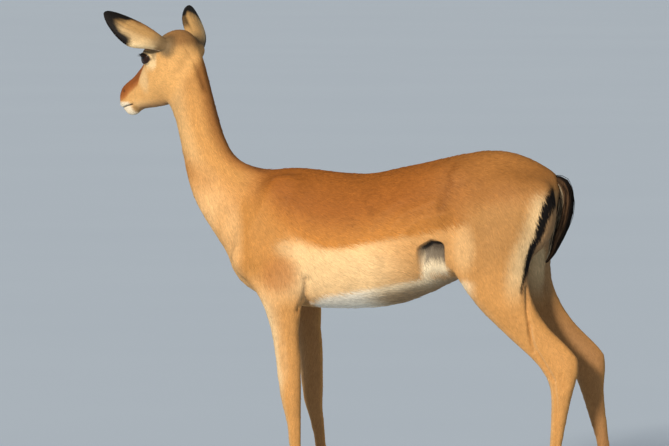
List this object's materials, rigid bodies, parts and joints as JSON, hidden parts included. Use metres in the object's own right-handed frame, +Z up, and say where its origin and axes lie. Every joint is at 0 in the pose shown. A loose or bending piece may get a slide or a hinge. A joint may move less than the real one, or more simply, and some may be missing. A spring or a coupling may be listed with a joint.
{
  "type": "impala antelope",
  "caption": "Life-size still model of a young hornless impala ewe, standing square with the head turned away and the ears spread.",
  "frame": {"origin": "centre of the bounding box, at floor level", "axes": "+Z up, body along X with the head at -X, the animal's left side faces -Y"},
  "size_m": [1.1047, 0.3085, 1.1498],
  "materials": {
    "coat_head": "short matt hair",
    "coat_neck": "short matt hair",
    "coat_trunk": "short matt hair",
    "coat_leg": "short matt hair",
    "coat_ear": "short matt hair",
    "coat_tail": "long dark hair",
    "eye_surface": "wet gloss",
    "hoof_horn": "worn horn"
  },
  "bodies": {
    "root": {"ear_left": "coat_ear", "ear_right": "coat_ear", "eye_left": "eye_surface", "eye_right": "eye_surface", "head": "coat_head", "hoof_front_left_inner": "hoof_horn", "hoof_front_left_outer": "hoof_horn", "hoof_front_right_inner": "hoof_horn", "hoof_front_right_outer": "hoof_horn", "hoof_hind_left_inner": "hoof_horn", "hoof_hind_left_outer": "hoof_horn", "hoof_hind_right_inner": "hoof_horn", "hoof_hind_right_outer": "hoof_horn", "leg_front_left_lower": "coat_leg", "leg_front_left_upper": "coat_leg", "leg_front_right_lower": "coat_leg", "leg_front_right_upper": "coat_leg", "leg_hind_left_lower": "coat_leg", "leg_hind_left_upper": "coat_leg", "leg_hind_right_lower": "coat_leg", "leg_hind_right_upper": "coat_leg", "neck": "coat_neck", "tail": "coat_tail", "trunk": "coat_trunk"}
  },
  "joints": []
}
